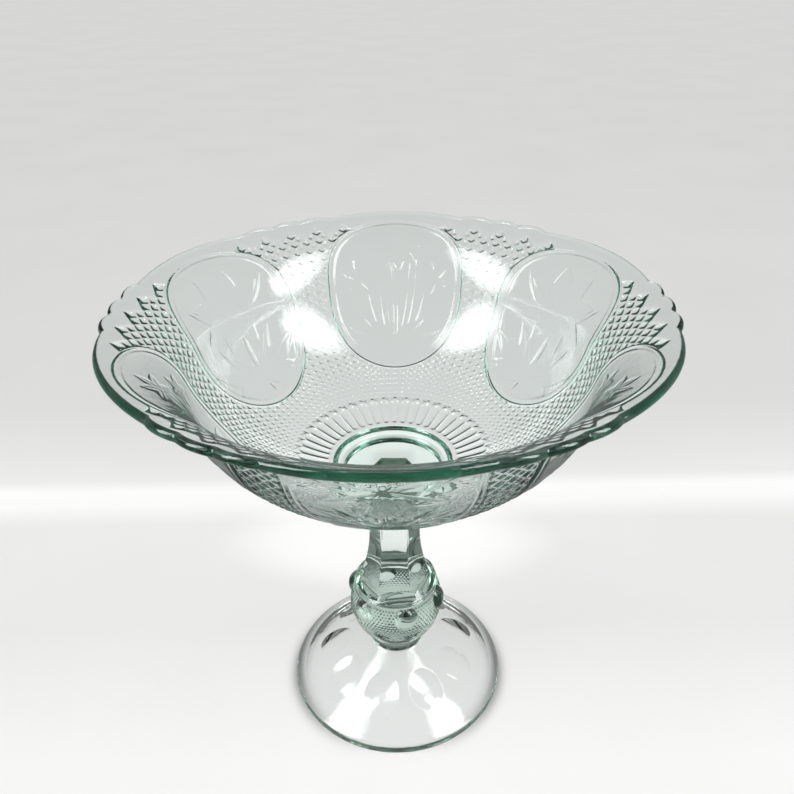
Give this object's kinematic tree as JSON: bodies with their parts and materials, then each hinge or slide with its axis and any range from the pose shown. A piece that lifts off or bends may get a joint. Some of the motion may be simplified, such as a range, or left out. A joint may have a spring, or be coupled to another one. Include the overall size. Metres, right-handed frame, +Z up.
{
  "type": "footed compote bowl",
  "caption": "Footed compote in pressed glass: a scalloped, flared bowl with oval medallions on a six-sided column, a beaded knop and a domed foot with pressed petals.",
  "frame": {"origin": "middle of the surface that the foot stands on", "axes": "+Z up along the axis of the stem; +X through the middle of a gap between two medallions"},
  "size_m": [0.239, 0.24, 0.2292],
  "materials": {
    "pressed_glass": "fire-polished, pale soda green, deep green where it is thick"
  },
  "bodies": {
    "root": {"bowl": "pressed_glass", "bowl_merese": "pressed_glass", "column": "pressed_glass", "knop": "pressed_glass", "foot_merese": "pressed_glass", "foot": "pressed_glass"}
  },
  "joints": []
}
